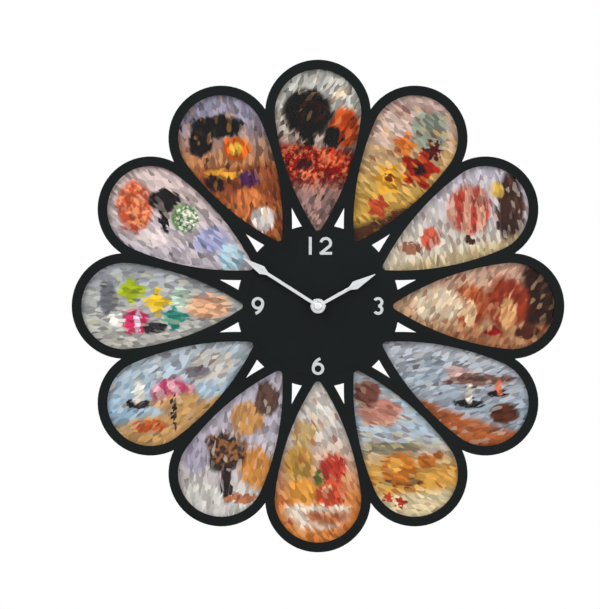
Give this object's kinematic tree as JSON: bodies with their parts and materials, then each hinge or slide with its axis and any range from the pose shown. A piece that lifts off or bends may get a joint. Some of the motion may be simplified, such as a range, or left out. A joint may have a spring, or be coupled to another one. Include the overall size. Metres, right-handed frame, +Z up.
{
  "type": "wall clock with picture frames",
  "caption": "Round wall clock whose black dial is ringed by teardrop picture frames, with applied silver figures, lance hands and a quartz movement on a keyhole hanger.",
  "frame": {"origin": "middle of the hanger's keyhole, on the wall plane", "axes": "+Z up, +X to the right seen from the front, +Y into the wall; the dial faces -Y and the hand axis is 40 mm below the origin"},
  "size_m": [0.4, 0.0333, 0.4],
  "materials": {
    "frame_plastic": "satin black moulding",
    "clear_sheet": "clear sheet",
    "hardboard": "smooth hardboard",
    "hand_aluminium": "brushed",
    "cap_chrome": "polished",
    "nut_plating": "plated",
    "hanger_steel": "zinc plated",
    "movement_plastic": "spark-eroded grain",
    "arbor_brass": "turned",
    "gear_plastic": "smooth moulding",
    "knob_plastic": "smooth moulding",
    "battery_jacket": "printed sleeve",
    "contact_steel": "nickel plated",
    "numeral_silver": "brushed",
    "picture_01": "printed paper",
    "picture_02": "printed paper",
    "picture_03": "printed paper",
    "picture_04": "printed paper",
    "picture_05": "printed paper",
    "picture_06": "printed paper",
    "picture_07": "printed paper",
    "picture_08": "printed paper",
    "picture_09": "printed paper",
    "picture_10": "printed paper",
    "picture_11": "printed paper",
    "picture_12": "printed paper"
  },
  "bodies": {
    "case": {"petal_frames": "frame_plastic", "dial_plate": "frame_plastic", "wall_skirt": "frame_plastic", "figures": "numeral_silver", "photo_windows": "clear_sheet", "petal_covers": "hardboard", "mounting_nut": "nut_plating", "hanger_plate": "hanger_steel", "movement_case": "movement_plastic", "movement_cover": "movement_plastic", "battery": "battery_jacket", "positive_contact": "contact_steel", "negative_contact": "contact_steel", "photo_print_01": "picture_01", "photo_print_02": "picture_02", "photo_print_03": "picture_03", "photo_print_04": "picture_04", "photo_print_05": "picture_05", "photo_print_06": "picture_06", "photo_print_07": "picture_07", "photo_print_08": "picture_08", "photo_print_09": "picture_09", "photo_print_10": "picture_10", "photo_print_11": "picture_11", "photo_print_12": "picture_12"},
    "minute_work": {"minute_hand": "hand_aluminium", "cap_nut": "cap_chrome", "minute_arbor": "arbor_brass"},
    "hour_work": {"hour_hand": "hand_aluminium", "hour_wheel": "gear_plastic"},
    "motion_work": {"motion_wheel": "gear_plastic"},
    "setting_work": {"setting_knob": "knob_plastic"}
  },
  "joints": [
    {"name": "minute_turn", "type": "hinge", "parent": "case", "child": "minute_work", "pos_m": [0, 0, -0.04], "axis": [0, 1, 0], "continuous": true},
    {"name": "hour_turn", "type": "hinge", "parent": "case", "child": "hour_work", "pos_m": [0, 0, -0.04], "axis": [0, 1, 0], "continuous": true},
    {"name": "motion_turn", "type": "hinge", "parent": "case", "child": "motion_work", "pos_m": [0.0095, 0, -0.03335], "axis": [0, 1, 0], "continuous": true},
    {"name": "setting_turn", "type": "hinge", "parent": "case", "child": "setting_work", "pos_m": [0.01696, 0, -0.02446], "axis": [0, 1, 0], "continuous": true}
  ],
  "couplings": [
    {"joint": "hour_turn", "follows": "minute_turn", "ratio": 0.083333},
    {"joint": "motion_turn", "follows": "minute_turn", "ratio": -0.33333},
    {"joint": "setting_turn", "follows": "minute_turn", "ratio": 1}
  ]
}
